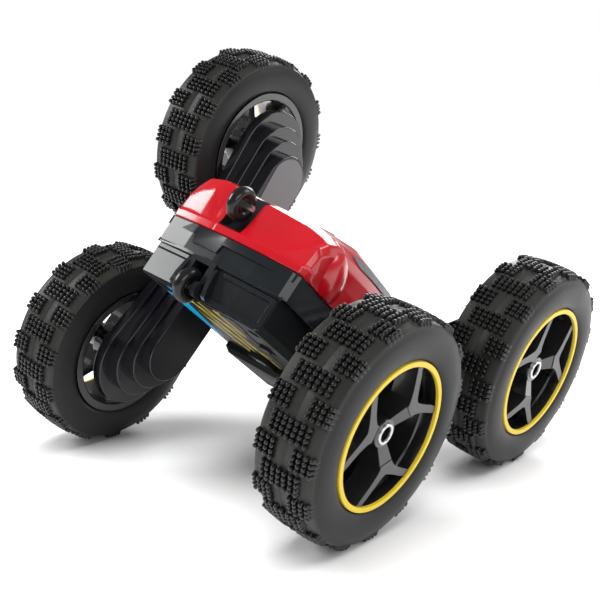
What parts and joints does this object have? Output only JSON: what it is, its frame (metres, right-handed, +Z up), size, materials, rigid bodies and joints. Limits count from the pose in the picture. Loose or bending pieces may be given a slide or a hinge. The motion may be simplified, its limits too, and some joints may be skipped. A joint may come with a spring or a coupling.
{
  "type": "radio-controlled stunt car",
  "caption": "Toy radio-controlled stunt car: a faceted body hung between swinging side arms that carry knobbly tyres on open spoked wheels, standing tilted on its tyres.",
  "frame": {"origin": "on the floor, under the middle of the bounding box of the car as it stands on its tyres", "axes": "+Z up from the floor; +X along the right arm from its rear wheel to its front wheel; +Y towards the left arm"},
  "size_m": [0.2104, 0.213, 0.1865],
  "materials": {
    "black_gloss": "gloss black plastic",
    "steel": "zinc-plated steel",
    "cell_wrap": "shrink wrap",
    "board_green": "green solder resist",
    "arm_black": "gloss black plastic",
    "nylon": "natural nylon",
    "bright_ring": "bright plated ring",
    "rim_black": "black plastic with satin grey painted spoke faces",
    "yellow_trim": "yellow paint",
    "tyre_rubber": "matt moulded rubber",
    "motor_can": "plated steel can",
    "brass_pinion": "brass",
    "roller_black": "black plastic",
    "black_matte": "satin black plastic",
    "label_print": "printed sticker",
    "red_shell": "injection-moulded gloss red plastic",
    "window_grey": "printed grey sticker"
  },
  "bodies": {
    "body": {"battery_cover": "black_gloss", "battery_cover_screw": "steel", "battery_pack": "cell_wrap", "bumper_band": "black_gloss", "circuit_board": "board_green", "lower_shell": "black_gloss", "roller_pins": "steel", "shell_screws": "steel", "switch_housing": "black_matte", "underside_label": "label_print", "upper_shell": "red_shell", "window_stickers": "window_grey"},
    "upper_roller": {"upper_roller": "roller_black"},
    "lower_roller": {"lower_roller": "roller_black"},
    "switch_slider": {"switch_slider": "black_matte"},
    "left_arm": {"left_arm_cover": "arm_black", "left_arm_housing": "arm_black", "left_arm_screws": "steel", "left_motor": "motor_can", "left_retaining_ring": "nylon"},
    "left_front_wheel": {"left_front_axle_screw": "steel", "left_front_drive_shaft": "nylon", "left_front_hub_ring": "bright_ring", "left_front_rim": "rim_black", "left_front_trim_ring": "yellow_trim", "left_front_tyre": "tyre_rubber"},
    "left_rear_wheel": {"left_rear_axle_screw": "steel", "left_rear_drive_shaft": "nylon", "left_rear_hub_ring": "bright_ring", "left_rear_rim": "rim_black", "left_rear_trim_ring": "yellow_trim", "left_rear_tyre": "tyre_rubber"},
    "left_pinion": {"left_pinion": "brass_pinion"},
    "left_front_inner_idler": {"left_front_inner_idler": "nylon"},
    "left_front_outer_idler": {"left_front_outer_idler": "nylon"},
    "left_rear_inner_idler": {"left_rear_inner_idler": "nylon"},
    "left_rear_outer_idler": {"left_rear_outer_idler": "nylon"},
    "right_arm": {"right_arm_cover": "arm_black", "right_arm_housing": "arm_black", "right_arm_screws": "steel", "right_motor": "motor_can", "right_retaining_ring": "nylon"},
    "right_front_wheel": {"right_front_axle_screw": "steel", "right_front_drive_shaft": "nylon", "right_front_hub_ring": "bright_ring", "right_front_rim": "rim_black", "right_front_trim_ring": "yellow_trim", "right_front_tyre": "tyre_rubber"},
    "right_rear_wheel": {"right_rear_axle_screw": "steel", "right_rear_drive_shaft": "nylon", "right_rear_hub_ring": "bright_ring", "right_rear_rim": "rim_black", "right_rear_trim_ring": "yellow_trim", "right_rear_tyre": "tyre_rubber"},
    "right_pinion": {"right_pinion": "brass_pinion"},
    "right_front_inner_idler": {"right_front_inner_idler": "nylon"},
    "right_front_outer_idler": {"right_front_outer_idler": "nylon"},
    "right_rear_inner_idler": {"right_rear_inner_idler": "nylon"},
    "right_rear_outer_idler": {"right_rear_outer_idler": "nylon"}
  },
  "joints": [
    {"name": "left_arm_turn", "type": "hinge", "parent": "body", "child": "left_arm", "pos_m": [0, 0.03291, 0.08113], "axis": [0, 0.9701, 0.2426], "continuous": true},
    {"name": "left_front_wheel_spin", "type": "hinge", "parent": "left_arm", "child": "left_front_wheel", "pos_m": [-0.03771, 0.08241, 0.04808], "axis": [0, 0.9701, 0.2426], "continuous": true},
    {"name": "left_rear_wheel_spin", "type": "hinge", "parent": "left_arm", "child": "left_rear_wheel", "pos_m": [0.03095, 0.05982, 0.13842], "axis": [0, 0.9701, 0.2426], "continuous": true},
    {"name": "left_pinion_spin", "type": "hinge", "parent": "left_arm", "child": "left_pinion", "pos_m": [0, 0.0529, 0.08613], "axis": [0, 0.9701, 0.2426], "continuous": true},
    {"name": "left_front_inner_idler_spin", "type": "hinge", "parent": "left_arm", "child": "left_front_inner_idler", "pos_m": [-0.0091, 0.05548, 0.07581], "axis": [0, 0.9701, 0.2426], "continuous": true},
    {"name": "left_front_outer_idler_spin", "type": "hinge", "parent": "left_arm", "child": "left_front_outer_idler", "pos_m": [-0.0221, 0.05916, 0.06106], "axis": [0, 0.9701, 0.2426], "continuous": true},
    {"name": "left_rear_inner_idler_spin", "type": "hinge", "parent": "left_arm", "child": "left_rear_inner_idler", "pos_m": [0.00747, 0.05002, 0.09761], "axis": [0, 0.9701, 0.2426], "continuous": true},
    {"name": "left_rear_outer_idler_spin", "type": "hinge", "parent": "left_arm", "child": "left_rear_outer_idler", "pos_m": [0.01814, 0.04592, 0.11402], "axis": [0, 0.9701, 0.2426], "continuous": true},
    {"name": "right_arm_turn", "type": "hinge", "parent": "body", "child": "right_arm", "pos_m": [0, -0.0447, 0.06172], "axis": [0, 0.9701, 0.2426], "continuous": true},
    {"name": "right_front_wheel_spin", "type": "hinge", "parent": "right_arm", "child": "right_front_wheel", "pos_m": [0.05785, -0.08248, 0.04794], "axis": [0, 0.9701, 0.2426], "continuous": true},
    {"name": "right_rear_wheel_spin", "type": "hinge", "parent": "right_arm", "child": "right_rear_wheel", "pos_m": [-0.05785, -0.08248, 0.04794], "axis": [0, 0.9701, 0.2426], "continuous": true},
    {"name": "right_pinion_spin", "type": "hinge", "parent": "right_arm", "child": "right_pinion", "pos_m": [0, -0.06468, 0.05672], "axis": [0, 0.9701, 0.2426], "continuous": true},
    {"name": "right_front_inner_idler_spin", "type": "hinge", "parent": "right_arm", "child": "right_front_inner_idler", "pos_m": [0.01396, -0.06444, 0.05574], "axis": [0, 0.9701, 0.2426], "continuous": true},
    {"name": "right_front_outer_idler_spin", "type": "hinge", "parent": "right_arm", "child": "right_front_outer_idler", "pos_m": [0.03391, -0.06409, 0.05433], "axis": [0, 0.9701, 0.2426], "continuous": true},
    {"name": "right_rear_inner_idler_spin", "type": "hinge", "parent": "right_arm", "child": "right_rear_inner_idler", "pos_m": [-0.01396, -0.06444, 0.05574], "axis": [0, 0.9701, 0.2426], "continuous": true},
    {"name": "right_rear_outer_idler_spin", "type": "hinge", "parent": "right_arm", "child": "right_rear_outer_idler", "pos_m": [-0.03391, -0.06409, 0.05433], "axis": [0, 0.9701, 0.2426], "continuous": true},
    {"name": "upper_roller_spin", "type": "hinge", "parent": "body", "child": "upper_roller", "pos_m": [-0.04999, -0.01493, 0.1224], "axis": [0, 0.9701, 0.2426], "continuous": true},
    {"name": "lower_roller_spin", "type": "hinge", "parent": "body", "child": "lower_roller", "pos_m": [-0.07291, -0.00728, 0.09179], "axis": [0, 0.9701, 0.2426], "continuous": true},
    {"name": "power_switch", "type": "slide", "parent": "body", "child": "switch_slider", "axis": [0.809, 0.1426, -0.5702], "range_m": [0, 0.003]}
  ],
  "couplings": [
    {"joint": "left_rear_wheel_spin", "follows": "left_front_wheel_spin", "ratio": 1},
    {"joint": "left_pinion_spin", "follows": "left_front_wheel_spin", "ratio": -3.5},
    {"joint": "left_front_inner_idler_spin", "follows": "left_front_wheel_spin", "ratio": 1.4},
    {"joint": "left_front_outer_idler_spin", "follows": "left_front_wheel_spin", "ratio": -1.4},
    {"joint": "left_rear_inner_idler_spin", "follows": "left_front_wheel_spin", "ratio": 1.4},
    {"joint": "left_rear_outer_idler_spin", "follows": "left_front_wheel_spin", "ratio": -1.4},
    {"joint": "right_rear_wheel_spin", "follows": "right_front_wheel_spin", "ratio": 1},
    {"joint": "right_pinion_spin", "follows": "right_front_wheel_spin", "ratio": -3.5},
    {"joint": "right_front_inner_idler_spin", "follows": "right_front_wheel_spin", "ratio": 1.4},
    {"joint": "right_front_outer_idler_spin", "follows": "right_front_wheel_spin", "ratio": -1.4},
    {"joint": "right_rear_inner_idler_spin", "follows": "right_front_wheel_spin", "ratio": 1.4},
    {"joint": "right_rear_outer_idler_spin", "follows": "right_front_wheel_spin", "ratio": -1.4}
  ]
}
